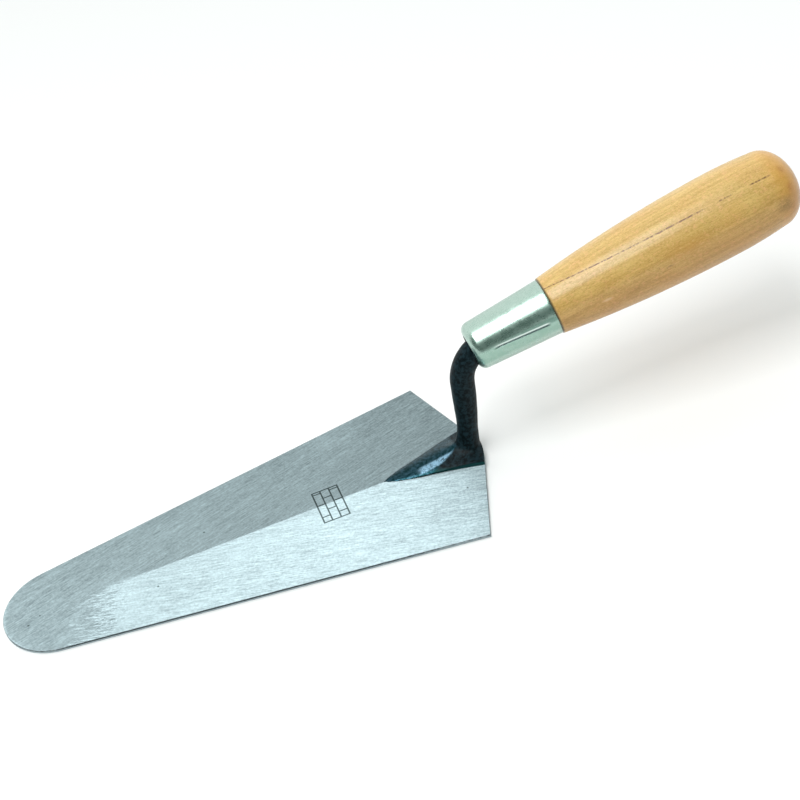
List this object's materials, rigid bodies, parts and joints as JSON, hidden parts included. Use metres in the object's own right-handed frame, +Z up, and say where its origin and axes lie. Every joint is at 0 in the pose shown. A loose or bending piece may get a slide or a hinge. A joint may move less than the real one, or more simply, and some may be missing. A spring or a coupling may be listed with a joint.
{
  "type": "gauging trowel",
  "caption": "Round-nosed hand trowel with a tapering flat steel blade, a cranked forged shank, a steel ferrule and a turned wooden handle.",
  "frame": {"origin": "middle of the blade's flat underside, halfway between the nose and the heel's point, on the centre line", "axes": "+X from the nose towards the handle, +Z up out of the blade's top face, +Y across the blade; the plane Y = 0 is the plane of symmetry"},
  "size_m": [0.3044, 0.086, 0.0785],
  "materials": {
    "blade_steel": "ground, with fine scratches along its length",
    "forged_steel": "black forge scale, satin",
    "ferrule_plate": "bright zinc plate, lightly hazed",
    "handle_wood": "clear lacquered hardwood"
  },
  "bodies": {
    "root": {"blade": "blade_steel", "shank": "forged_steel", "ferrule": "ferrule_plate", "handle": "handle_wood"}
  },
  "joints": []
}
